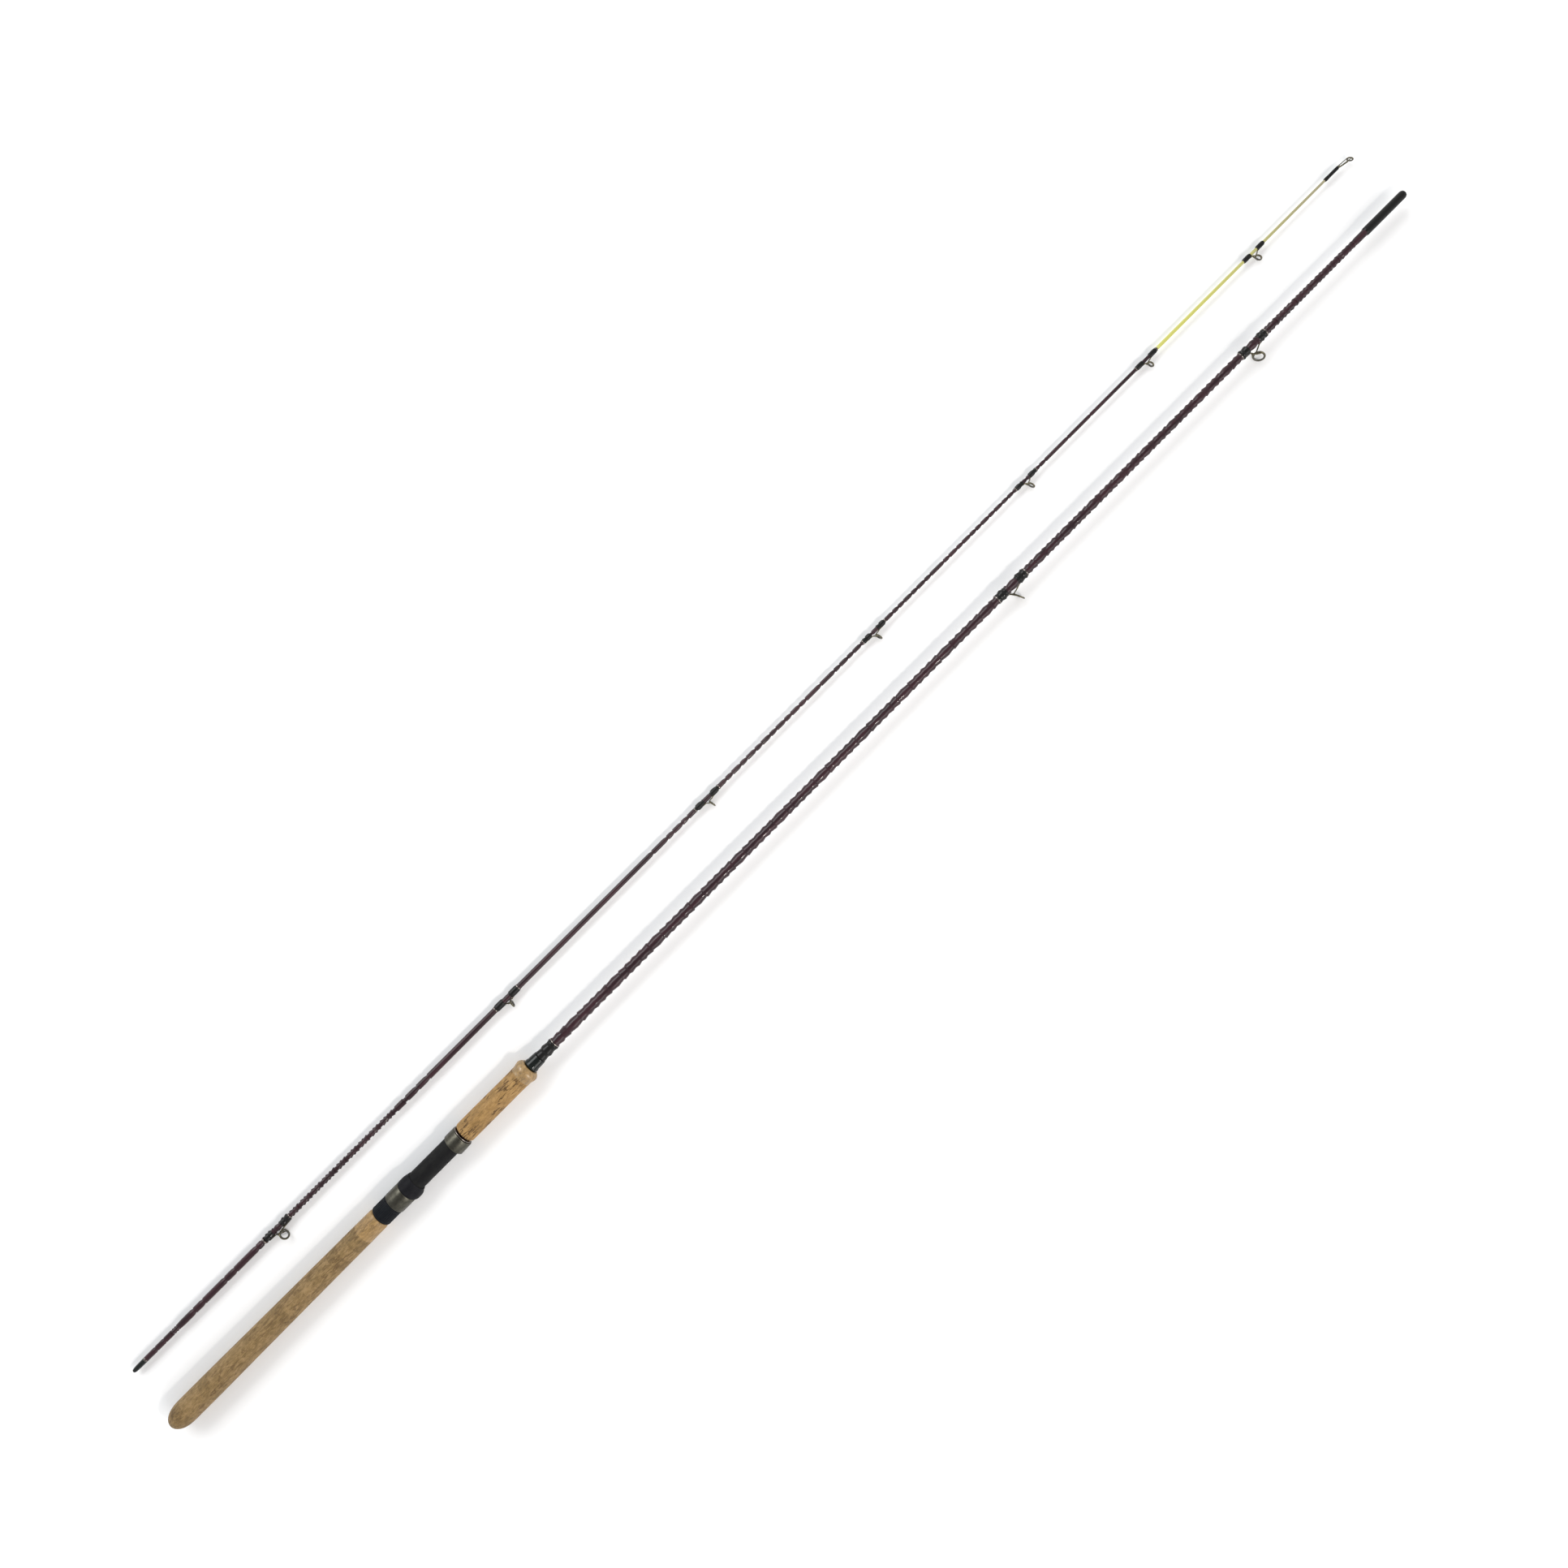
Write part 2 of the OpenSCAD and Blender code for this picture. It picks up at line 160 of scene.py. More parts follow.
def smooth_path(points, n=8):
    """A Catmull-Rom curve through points."""
    pts = [Vector(p) for p in points]
    pts = [pts[0] * 2 - pts[1]] + pts + [pts[-1] * 2 - pts[-2]]
    out = []
    for i in range(1, len(pts) - 2):
        a, b, c, d = pts[i - 1:i + 3]
        for k in range(n):
            t = k / n
            out.append(0.5 * (2 * b + (c - a) * t + (2 * a - 5 * b + 4 * c - d) * t * t
                              + (3 * b - a - 3 * c + d) * t ** 3))
    out.append(pts[-2])
    return out


def wire(points, radii, sides=14):
    """A round wire along points, with radii spread evenly from the first point to the last."""
    path = smooth_path(points)
    n = len(path)
    verts, faces = [], []
    up = Vector((0.13, 0.29, 0.95))
    for i, p in enumerate(path):
        t = (path[min(i + 1, n - 1)] - path[max(i - 1, 0)]).normalized()
        up = (up - t * up.dot(t)).normalized()
        side = t.cross(up)
        s = i / (n - 1) * (len(radii) - 1)
        k = min(int(s), len(radii) - 2)
        r = radii[k] + (radii[k + 1] - radii[k]) * (s - k)
        for m in range(sides):
            a = 2 * math.pi * m / sides
            verts.append(tuple(p + (up * math.cos(a) * r + side * math.sin(a) * r)))
    for i in range(n - 1):
        for m in range(sides):
            j = (m + 1) % sides
            faces.append([i * sides + m, i * sides + j, (i + 1) * sides + j, (i + 1) * sides + m])
    for row, end, flip in ((0, path[0] + (path[0] - path[1]) * 0.3, True),
                           (n - 1, path[-1] + (path[-1] - path[-2]) * 0.3, False)):
        tip = len(verts)
        verts.append(tuple(end))
        for m in range(sides):
            j = (m + 1) % sides
            tri = [row * sides + m, row * sides + j, tip]
            faces.append(tri[::-1] if flip else tri)
    return verts, faces


def moved(shape, matrix):
    return [tuple(matrix @ Vector(v)) for v in shape[0]], shape[1]


def piece(name, shapes, place, body, material, stands_for, sharp=38):
    """One mesh object from several shapes, riding on a body."""
    verts, faces = [], []
    for v, f in shapes:
        base = len(verts)
        verts += [Vector(p) * MM for p in v]
        faces += [[base + i for i in face] for face in f]
    mesh = bpy.data.meshes.new(name)
    mesh.from_pydata(verts, [], faces)
    mesh.validate()
    bm = bmesh.new()
    bm.from_mesh(mesh)
    bmesh.ops.recalc_face_normals(bm, faces=bm.faces)
    bm.to_mesh(mesh)
    bm.free()
    mesh.polygons.foreach_set("use_smooth", [True] * len(mesh.polygons))
    mesh.set_sharp_from_angle(angle=math.radians(sharp))
    mesh.materials.append(material)
    obj = bpy.data.objects.new(name, mesh)
    bpy.context.scene.collection.objects.link(obj)
    obj.matrix_world = place
    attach(obj, body)
    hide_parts(*stands_for)


# ---- materials ----

CORK_DISC = 12.5  # length of one disc of cork
THREAD_PITCH = 0.18  # from one turn of a wrap to the next


def rgb(r, g, b):
    """A display colour, 0 to 255, as linear values."""
    lin = [(c / 255 / 12.92) if c / 255 <= 0.04045 else ((c / 255 + 0.055) / 1.055) ** 2.4
           for c in (r, g, b)]
    return (*lin, 1.0)


class Look:
    """A small builder for node materials; its coordinates are millimetres along the rod."""

    def __init__(self, name):
        self.material = bpy.data.materials.new(name)
        self.material.use_nodes = True
        self.tree = self.material.node_tree
        self.shader = self.tree.nodes["Principled BSDF"]
        coords = self.tree.nodes.new("ShaderNodeTexCoord")
        self.mm = self.scaled(coords.outputs["Object"], (1000, 1000, 1000))

    def link(self, a, b):
        self.tree.links.new(a, b)

    def scaled(self, vector, scale):
        node = self.tree.nodes.new("ShaderNodeMapping")
        node.inputs["Scale"].default_value = scale
        self.link(vector, node.inputs["Vector"])
        return node.outputs["Vector"]

    def set(self, **values):
        for key, value in values.items():
            self.shader.inputs[key.replace("_", " ")].default_value = value
        return self

    def noise(self, scale=(1, 1, 1), detail=3, rough=0.5, warp=0.0):
        node = self.tree.nodes.new("ShaderNodeTexNoise")
        node.inputs["Scale"].default_value = 1
        node.inputs["Detail"].default_value = detail
        node.inputs["Roughness"].default_value = rough
        node.inputs["Distortion"].default_value = warp
        self.link(self.scaled(self.mm, scale), node.inputs["Vector"])
        return node.outputs["Fac"]

    def cells(self, scale):
        node = self.tree.nodes.new("ShaderNodeTexVoronoi")
        node.inputs["Scale"].default_value = 1
        self.link(self.scaled(self.mm, scale), node.inputs["Vector"])
        return node.outputs["Distance"]

    def along(self):
        node = self.tree.nodes.new("ShaderNodeSeparateXYZ")
        self.link(self.mm, node.inputs["Vector"])
        return node.outputs["X"]

    def math(self, op, a, b=None, c=None):
        node = self.tree.nodes.new("ShaderNodeMath")
        node.operation = op
        for socket, value in zip(node.inputs, (a, b, c)):
            if value is None:
                continue
            if isinstance(value, (int, float)):
                socket.default_value = value
            else:
                self.link(value, socket)
        return node.outputs["Value"]

    def band(self, value, lo, hi, out_lo=0.0, out_hi=1.0):
        """A smooth step of value from lo to hi."""
        node = self.tree.nodes.new("ShaderNodeMapRange")
        node.interpolation_type = "SMOOTHSTEP"
        limits = {"From Min": lo, "From Max": hi, "To Min": out_lo, "To Max": out_hi}
        for key, number in limits.items():
            node.inputs[key].default_value = number
        self.link(value, node.inputs["Value"])
        return node.outputs["Result"]

    def ramp(self, value, *stops):
        node = self.tree.nodes.new("ShaderNodeValToRGB")
        elements = node.color_ramp.elements
        while len(elements) < len(stops):
            elements.new(0.5)
        for element, (position, colour) in zip(elements, stops):
            element.position, element.color = position, colour
        self.link(value, node.inputs["Fac"])
        return node.outputs["Color"]

    def mix(self, share, a, b):
        node = self.tree.nodes.new("ShaderNodeMix")
        node.data_type = "RGBA"
        for socket, value in ((node.inputs[0], share), (node.inputs[6], a), (node.inputs[7], b)):
            if isinstance(value, (tuple, float, int)):
                socket.default_value = value
            else:
                self.link(value, socket)
        return node.outputs[2]

    def colour(self, value):
        self.link(value, self.shader.inputs["Base Color"])
        return self

    def rough(self, value):
        self.link(value, self.shader.inputs["Roughness"])
        return self

    def bump(self, height, depth_mm, strength=1.0):
        node = self.tree.nodes.new("ShaderNodeBump")
        node.inputs["Strength"].default_value = strength
        node.inputs["Distance"].default_value = depth_mm * MM
        self.link(height, node.inputs["Height"])
        self.link(node.outputs["Normal"], self.shader.inputs["Normal"])
        return self


def cork(name, light, mid, dark, streaks=1.0, seams=0.3, gloss=0.3, smooth=0.58):
    """Cork: soft mottling drawn out along the rod, thin dark channels, pits and disc seams."""
    look = Look(name)
    tone = look.noise((0.16, 0.35, 0.35), 4, 0.62)
    fibre = look.noise((0.20, 1.1, 1.1), 3, 0.6)
    fine = look.noise((1.2, 1.8, 1.8), 2, 0.6)
    which = look.math("FLOOR", look.math("DIVIDE", look.along(), CORK_DISC))
    pick = look.tree.nodes.new("ShaderNodeTexWhiteNoise")
    pick.noise_dimensions = "1D"
    look.link(which, pick.inputs["W"])
    shift = look.math("MULTIPLY_ADD", pick.outputs["Value"], 0.09, -0.045)
    level = look.math("MULTIPLY_ADD", tone, 0.55, look.math("MULTIPLY_ADD", fibre, 0.3, shift))
    level = look.math("MULTIPLY_ADD", fine, 0.15, level)
    base = look.ramp(level, (0.36, dark), (0.50, mid), (0.63, light))
    wander = look.noise((0.055, 0.30, 0.30), 3, 0.6, 0.4)
    line = look.band(look.math("ABSOLUTE", look.math("SUBTRACT", wander, 0.5)), 0.040, 0.016)
    patch = look.noise((0.05, 0.14, 0.14), 1, 0.5)
    lines = look.math("MULTIPLY", look.math("MULTIPLY", line, look.band(patch, 0.46, 0.54)), streaks)
    dash = look.math("MULTIPLY", look.band(look.noise((0.20, 1.3, 1.3), 2, 0.5), 0.62, 0.70), 0.7)
    pits = look.math("MULTIPLY", look.band(look.cells((0.42, 0.55, 0.55)), 0.20, 0.10), 0.6)
    marks = look.math("MAXIMUM", look.math("MAXIMUM", lines, dash), pits)
    turn = look.math("FRACT", look.math("DIVIDE", look.along(), CORK_DISC))
    edge = look.math("ABSOLUTE", look.math("SUBTRACT", turn, 0.5))
    seam = look.math("MULTIPLY", look.band(edge, 0.485, 0.499), seams)
    base = look.mix(look.math("MINIMUM", look.math("MULTIPLY", marks, 0.7), 0.9), base, rgb(80, 56, 28))
    base = look.mix(seam, base, rgb(96, 72, 46))
    look.colour(base).set(Specular_IOR_Level=gloss)
    look.rough(look.band(fine, 0.3, 0.7, smooth - 0.06, smooth + 0.12))
    grain = look.math("SUBTRACT", look.math("MULTIPLY", fine, 0.4), look.math("ADD", marks, seam))
    return look.bump(grain, 0.22).material


def blank_paint(name, light, dark):
    """Dark paint under a thin clear coat, with soft clouds and fine flecks."""
    look = Look(name)
    ripple = look.noise((0.3, 0.05, 0.05), 2, 0.5)
    cloud = look.noise((0.02, 0.3, 0.3), 2)
    fleck = look.noise((6, 6, 6), 2)
    base = look.mix(look.band(cloud, 0.35, 0.65), dark, light)
    base = look.mix(look.math("MULTIPLY", look.band(fleck, 0.62, 0.75), 0.35), base, rgb(120, 70, 78))
    look.colour(base).set(Roughness=0.4, Coat_Weight=0.4, Coat_Roughness=0.10, Specular_IOR_Level=0.15)
    return look.bump(ripple, 0.006).material


def thread(name, colour, glint):
    """Wound thread under a thin clear coat."""
    look = Look(name)
    wind = look.math("SINE", look.math("MULTIPLY", look.along(), 2 * math.pi / THREAD_PITCH))
    fibre = look.noise((1.5, 4, 4), 2)
    base = look.mix(look.math("MULTIPLY", look.band(fibre, 0.5, 0.8), 0.5), colour, glint)
    look.colour(base).set(Roughness=0.5, Coat_Weight=0.35, Coat_Roughness=0.08, Specular_IOR_Level=0.1)
    return look.bump(look.math("ADD", look.math("MULTIPLY", wind, 0.5), fibre), 0.03, 0.5).material


def metal(name, colour, rough_lo, rough_hi, brushed=(7, 0.25, 0.25), depth=0.012):
    """Metal with fine scratches and faint stains."""
    look = Look(name)
    scratch = look.noise(brushed, 3, 0.6)
    stain = look.noise((0.4, 0.4, 0.4), 2)
    dark = tuple(c * 0.72 for c in colour[:3]) + (1.0,)
    look.colour(look.mix(look.band(stain, 0.3, 0.75), colour, dark)).set(Metallic=1.0)
    look.rough(look.band(scratch, 0.3, 0.7, rough_lo, rough_hi))
    return look.bump(scratch, depth).material


def plastic(name, colour, worn, rough, grain=2.6, depth=0.05, coat=0.0):
    """Plastic or foam with a fine grain and faint smears."""
    look = Look(name)
    skin = look.noise((grain, grain, grain), 3, 0.55)
    smear = look.noise((0.12, 0.2, 0.2), 3)
    look.colour(look.mix(look.math("MULTIPLY", look.band(smear, 0.4, 0.75), 0.6), colour, worn))
    look.set(Coat_Weight=coat, Coat_Roughness=0.08, Specular_IOR_Level=0.08)
    look.rough(look.band(skin, 0.3, 0.7, rough - 0.07, rough + 0.09))
    return look.bump(skin, depth).material


def ceramic(name, colour):
    """Polished ceramic with paler specks."""
    look = Look(name)
    speck = look.noise((5, 5, 5), 2)
    look.colour(look.mix(look.band(speck, 0.55, 0.8), colour, rgb(120, 118, 108)))
    return look.set(Roughness=0.14, Specular_IOR_Level=0.7).material


def yellow_paint(name):
    """Yellow paint that dulls to grey brown towards the tip."""
    look = Look(name)
    start, end = (station("quiver_tip", TIP, end) for end in (0, 1))
    fade = look.band(look.along(), start + 60, end)
    base = look.mix(fade, rgb(192, 190, 92), rgb(150, 143, 114))
    grain = look.noise((0.5, 3, 3), 2)
    base = look.mix(look.math("MULTIPLY", look.band(grain, 0.5, 0.8), 0.35), base, rgb(170, 168, 90))
    look.colour(base).set(Roughness=0.3, Coat_Weight=0.8, Coat_Roughness=0.08)
    return look.bump(grain, 0.02).material


REAR_CORK = cork("cork_rear", rgb(148, 122, 84), rgb(128, 104, 66), rgb(102, 82, 50), streaks=0.8)
FORE_CORK = cork("cork_fore", rgb(168, 134, 84), rgb(149, 116, 69), rgb(124, 96, 54),
                 streaks=1.4, seams=0.08)
RING_CORK = cork("cork_rings", rgb(168, 136, 90), rgb(148, 118, 72), rgb(124, 98, 56), 0.6, 0.0, 0.5, 0.42)
BELL_CORK = cork("cork_bell", rgb(172, 136, 82), rgb(150, 118, 66), rgb(126, 98, 50), 0.6, 0.0, 1.0, 0.34)
BLANK = blank_paint("blank_plum", rgb(52, 28, 34), rgb(35, 18, 23))
SEAT = plastic("seat_black", rgb(23, 23, 24), rgb(34, 34, 32), 0.56)
NUT = plastic("nut_black", rgb(18, 20, 24), rgb(28, 32, 34), 0.48, grain=3.2)
LINER = plastic("liner_black", rgb(22, 22, 25), rgb(32, 32, 34), 0.52, grain=3.0)
CHECK = plastic("check_black", rgb(12, 17, 15), rgb(22, 26, 24), 0.24, grain=1.2, depth=0.012, coat=0.5)
FOAM = plastic("arbor_foam", rgb(196, 186, 160), rgb(170, 160, 136), 0.8, grain=1.6, depth=0.2)
HOOD = metal("hood_metal", rgb(86, 84, 75), 0.30, 0.44)
TRIM = metal("trim_silver", rgb(128, 121, 116), 0.14, 0.26, brushed=(9, 1, 1))
STEEL = metal("guide_steel", rgb(108, 103, 84), 0.28, 0.44, brushed=(1.5, 1.5, 1.5), depth=0.02)
CERAMIC = ceramic("guide_ceramic", rgb(66, 64, 56))
THREAD = thread("thread_black", rgb(15, 14, 13), rgb(38, 35, 30))
QUIVER = yellow_paint("quiver_yellow")


# ---- butt section: grips ----

cap_end = station("butt_cap", BUTT, 1)
cork_seam = station("rear_grip", BUTT, 1)
grip_end = station("rear_grip_front_ring", BUTT, 1)
grip_r = half_height("rear_grip")
DOME_LENGTH = 22.0
TAPER_FROM = 60


def dome(x):
    return grip_r * math.sqrt(max(0.0, 1 - (1 - min(x, DOME_LENGTH) / DOME_LENGTH) ** 2.6))


rear_r = half_height("rear_grip_front_ring")


def rear_profile(x):
    if x < TAPER_FROM:
        return dome(x)
    t = (x - TAPER_FROM) / (cork_seam - TAPER_FROM)
    return grip_r + (rear_r - grip_r) * (t + 0.10 * math.sin(math.pi * t))


dome_x = [0, 0.15, 0.4, 0.8, 1.4, 2.2, 3.2, 4.5, 6, 8, 10, cap_end - 0.25]
seam_rows = [(cap_end - 0.08, dome(cap_end) - 0.10), (cap_end, dome(cap_end) - 0.12), (cap_end, 0)]
piece("rear_cork_end", [lathe([(x, dome(x)) for x in dome_x] + seam_rows, 96)],
      BUTT, "butt_section", REAR_CORK, ["butt_cap"])
main_x = [cap_end + 0.25, 15, 18, 22, 30, 45] + [TAPER_FROM + i * 12 for i in range(17)]
main_x = [x for x in main_x if x < cork_seam - 1] + [cork_seam - 0.2]
seam_rows = [(cap_end, 0), (cap_end, dome(cap_end) - 0.12), (cap_end + 0.08, dome(cap_end) - 0.10)]
main_rows = [(x, rear_profile(x)) for x in main_x]
piece("rear_cork_grip", [lathe(seam_rows + main_rows + [(cork_seam, rear_r - 0.06), (cork_seam, 5)], 96)],
      BUTT, "butt_section", REAR_CORK, ["rear_grip"])
piece("rear_cork_front_ring", [lathe(rounded([
      (cork_seam, 5), (cork_seam, rear_r - 0.06), (cork_seam + 0.3, rear_r, 0.2),
      (grip_end - 3.2, rear_r - 0.15, 1.5), (grip_end - 1.2, rear_r - 0.7, 0.9),
      (grip_end, rear_r - 1.5, 0.5), (grip_end, 5)]), 96)],
      BUTT, "butt_section", RING_CORK, ["rear_grip_front_ring"])

fore_x, fore_seam = station("fore_grip", BUTT, 0), station("fore_grip", BUTT, 1)
check_x = station("fore_grip_front_ring", BUTT, 1)
flare_r = half_height("fore_grip_front_ring")
fore_r = flare_r - 1.4
CHECK_SUNK = 3.4  # the bell's front face is drawn this far behind the frame's
check_back = check_x - CHECK_SUNK - 0.6
piece("fore_cork_grip", [lathe(rounded([
      (fore_x, 5), (fore_x, fore_r - 0.9, 0.3), (fore_x + 0.9, fore_r, 0.9),
      (fore_x + 30, fore_r + 0.05, 8), (fore_seam - 18, fore_r - 0.15, 8), (fore_seam - 4, fore_r - 0.05, 4),
      (fore_seam - 0.2, fore_r + 0.12), (fore_seam, fore_r + 0.04), (fore_seam, 5)]), 96)],
      BUTT, "butt_section", FORE_CORK, ["fore_grip"])
piece("fore_cork_front_ring", [lathe(rounded([
      (fore_seam, 5), (fore_seam, fore_r + 0.04), (fore_seam + 0.2, fore_r + 0.14),
      (check_x - 13.5, fore_r + 0.3, 3), (check_x - 10.2, flare_r - 0.1, 1.6),
      (check_x - 7.4, flare_r - 0.05, 1.4), (check_x - 5, flare_r - 2.1, 1.2),
      (check_x - CHECK_SUNK, 8.6, 0.8),
      (check_back, 7.4), (check_back, 5)], 6), 96)],
      BUTT, "butt_section", BELL_CORK, ["fore_grip_front_ring"])

check_end = station("winding_check", BUTT, 1)
check_r = half_height("winding_check")
piece("winding_check_black", [lathe(rounded([
      (check_back, 5), (check_back, check_r - 1.0, 0.2),
      (check_x - CHECK_SUNK + 0.9, check_r + 0.15, 1.2), (check_x - 0.6, check_r + 0.1, 1.0),
      (check_x + 0.8, check_r - 0.45, 0.6), (check_x + 5, check_r - 0.6, 2),
      (check_end - 0.5, check_r - 0.85, 0.4), (check_end, check_r - 1.0, 0.2), (check_end, 5)]), 96)],
      BUTT, "butt_section", CHECK, ["winding_check"])

# ---- blanks, from the frame's own outlines ----

wrap_end = station("handle_wrap", BUTT, 1)
BUTT_OUT = outline_of("butt_blank", BUTT)
TIP_OUT = outline_of("tip_blank", TIP)
tip_end = station("tip_blank", TIP, 1)
QUIVER_EXTRA = 0.25  # the quiver is drawn this much fuller in radius than the frame's outline
QUIVER_OUT = [(x, r + QUIVER_EXTRA) for x, r in outline_of("quiver_tip", TIP) if x > tip_end + 0.5]


def radius_at(outline, x):
    if x <= outline[0][0]:
        return outline[0][1]
    for (x0, r0), (x1, r1) in zip(outline, outline[1:]):
        if x <= x1:
            return r0 + (r1 - r0) * (x - x0) / (x1 - x0)
    return outline[-1][1]


def tube_rows(outline, x0, x1, step):
    n = max(2, round((x1 - x0) / step))
    even = {x0 + (x1 - x0) * i / n for i in range(n + 1)}
    keep = sorted(even | {x for x, _ in outline if x0 < x < x1})
    return [(x, radius_at(outline, x)) for x in keep]


blank_end = station("butt_blank", BUTT, 1)
mouth_r = radius_at(BUTT_OUT, blank_end)
socket_rows = [(blank_end - 0.08, mouth_r - 0.08), (blank_end, mouth_r - 0.22), (blank_end, 3.05),
               (blank_end - 0.1, 3.0), (blank_end - 65, 3.0), (blank_end - 75, 0)]
butt_rows = tube_rows(BUTT_OUT, cap_end, blank_end - 0.25, 15)
piece("butt_blank_paint", [lathe([(cap_end, 4.9)] + butt_rows + socket_rows, 72)],
      BUTT, "butt_section", BLANK, ["butt_blank"])

tip_start = station("tip_blank", TIP, 0)
piece("tip_blank_paint", [lathe([(tip_start, 1.7)] + tube_rows(TIP_OUT, tip_start, tip_end - 0.2, 12)
      + [(tip_end, radius_at(TIP_OUT, tip_end) - 0.18), (tip_end, 1.12), (tip_end - 44, 1.11)], 56)],
      TIP, "tip_section", BLANK, ["tip_blank"])

quiver_lo, quiver_hi = station("quiver_tip", TIP, 0), station("quiver_tip", TIP, 1)
piece("quiver_yellow", [lathe([
      (quiver_lo, 0), (quiver_lo, 0.85), (quiver_lo + 0.3, 1.05), (tip_end + 0.3, 1.05),
      (tip_end + 0.3, 1.35), (tip_end + 0.5, 1.53), (tip_end + 0.8, 1.6)]
      + tube_rows(QUIVER_OUT, tip_end + 2, quiver_hi - 0.1, 12) + [(quiver_hi, 0)], 48)],
      TIP, "quiver", QUIVER, ["quiver_tip"])

# ---- thread wraps and silver trims ----


def wrap_shape(outline, x0, x1, t, swell=0.12):
    """A wrap under clear coat: its ends feather onto the blank and its middle swells a little."""
    n = 26
    rows = []
    for i in range(n + 1):
        u = i / n
        x = x0 + (x1 - x0) * u
        edge = min((x - x0), (x1 - x)) / 1.6
        rise = math.sin(min(1.0, edge) * math.pi / 2) ** 0.7
        rows.append((x, radius_at(outline, x) + t * (0.12 + 0.88 * rise) + swell * math.sin(math.pi * u)))
    start, stop = ((x, radius_at(outline, x) - 0.1) for x in (x0, x1))
    return lathe([start] + rows + [stop], 64)


TRIM_LENGTH = 1.2


def trim_shape(outline, x):
    base = radius_at(outline, x)
    return lathe(rounded([(x, base - 0.1), (x, base + 0.22, 0.1), (x + 0.3, base + 0.4, 0.25),
                          (x + 0.9, base + 0.4, 0.25), (x + TRIM_LENGTH, base + 0.22, 0.1),
                          (x + TRIM_LENGTH, base - 0.1)]), 64)


piece("handle_thread", [wrap_shape(BUTT_OUT, check_end, wrap_end, 0.62, 0.13)],
      BUTT, "butt_section", THREAD, ["handle_wrap"])
ferrule_x = station("ferrule_wrap", BUTT, 0)
FERRULE_WRAP = 54
ferrule_rows = [(ferrule_x, mouth_r - 0.1)]
for i in range(61):
    u = i / 60
    rise = math.sin(min(1.0, u * FERRULE_WRAP / 2.2, (1 - u) * FERRULE_WRAP / 2.6) * math.pi / 2) ** 0.6
    x = ferrule_x + u * FERRULE_WRAP
    ferrule_rows.append((x, radius_at(BUTT_OUT, x) + 0.72 * rise))
piece("ferrule_thread", [lathe(ferrule_rows + [(blank_end, mouth_r - 0.1)], 72)],
      BUTT, "butt_section", THREAD, ["ferrule_wrap"])

HOOP_WALL = 0.8  # from a ceramic ring's edge to the outside of its hoop
trims = {"butt_section": [(BUTT_OUT, wrap_end)], "tip_section": []}


def guide(number, place, outline, body):
    """A line guide: a wire hoop on two rear legs and a front leg, its ceramic ring and its wraps."""
    at, liner_r, bore = ring_place(f"guide_{number}_ring", place)
    x, h = at.translation.x, -at.translation.y
    r, blank = liner_r + HOOP_WALL, radius_at(outline, x)
    gap = 1.1 * r
    rear, front = (station(f"guide_{number}_wraps", place, end) for end in (0, 1))
    gauge = 0.66 if r > 4.5 else 0.56

    def on_hoop(angle, share=1.0):
        a = math.radians(angle)
        return at @ Vector((0, -(r - 0.4) * share * math.sin(a), (r - 0.4) * share * math.cos(a)))

    top = -(blank + 0.30)
    shapes = [moved(lathe(rounded([
        (-0.6, r - 0.8, 0.1), (-0.6, r - 0.25, 0.15), (-0.25, r, 0.2), (0.25, r, 0.2),
        (0.6, r - 0.25, 0.15), (0.6, r - 0.8, 0.1), (-0.6, r - 0.8)]), 64), at)]
    for side in (1, -1):
        shapes.append(wire([
            (rear + 2.2, top + 0.1, side * 0.35), (x - gap - 1.2, top - 0.05, side * 0.42),
            (x - gap + 0.9, top - 0.55, side * 0.55),
            (x - gap * 0.45, top - (h - blank) * 0.42, side * r * 0.52),
            tuple(on_hoop(-20 if side > 0 else 200, 0.985))],
            [gauge * 0.55, gauge * 0.95, gauge, gauge, gauge * 0.9]))
    shapes.append(wire([
        (front - 2.2, top + 0.1, 0), (x + gap + 1.0, top - 0.02, 0), (x + gap - 0.9, top - 0.5, 0),
        (x + gap * 0.45, top - (h - blank - r) * 0.65, 0), tuple(on_hoop(-90, 0.99))],
        [gauge * 0.6, gauge * 1.1, gauge * 1.1, gauge, gauge * 0.9]))
    shapes.append(wire([tuple(on_hoop(a)) for a in (-20, -45, -70, -90, -110, -135, -160)],
                       [gauge * 0.9, gauge * 0.8, gauge * 0.9], 12))
    piece(f"guide_{number}_wires", shapes, place, body, STEEL,
          [f"guide_{number}_frame"], 50)
    lip = (liner_r - bore) * 0.5
    mouth = [i * math.pi / 14 for i in range(15)]
    profile = [(-0.8, liner_r - 0.02), (0.8, liner_r - 0.02)] + [
        (0.8 * math.cos(a), bore + lip - lip * math.sin(a)) for a in mouth]
    piece(f"guide_{number}_liner", [moved(lathe(profile, 64, closed=True), at)], place, body, CERAMIC,
          [f"guide_{number}_ring"], 60)
    wraps = [wrap_shape(outline, rear, x - gap, 0.68), wrap_shape(outline, x + gap, front, 0.68)]
    piece(f"guide_{number}_thread", wraps, place, body, THREAD,
          [f"guide_{number}_wraps"])
    if body in trims:
        trims[body] += [(outline, rear - TRIM_LENGTH), (outline, front)]


for number in range(1, 10):
    if number < 3:
        guide(number, BUTT, BUTT_OUT, "butt_section")
    elif number < 9:
        guide(number, TIP, TIP_OUT, "tip_section")
    else:
        guide(number, TIP, QUIVER_OUT, "quiver")
piece("butt_trims", [trim_shape(*t) for t in trims["butt_section"]],
      BUTT, "butt_section", TRIM, ["butt_wrap_trims"])
piece("tip_trims", [trim_shape(*t) for t in trims["tip_section"]],
      TIP, "tip_section", TRIM, ["tip_wrap_trims"])

# ---- male ferrule ----

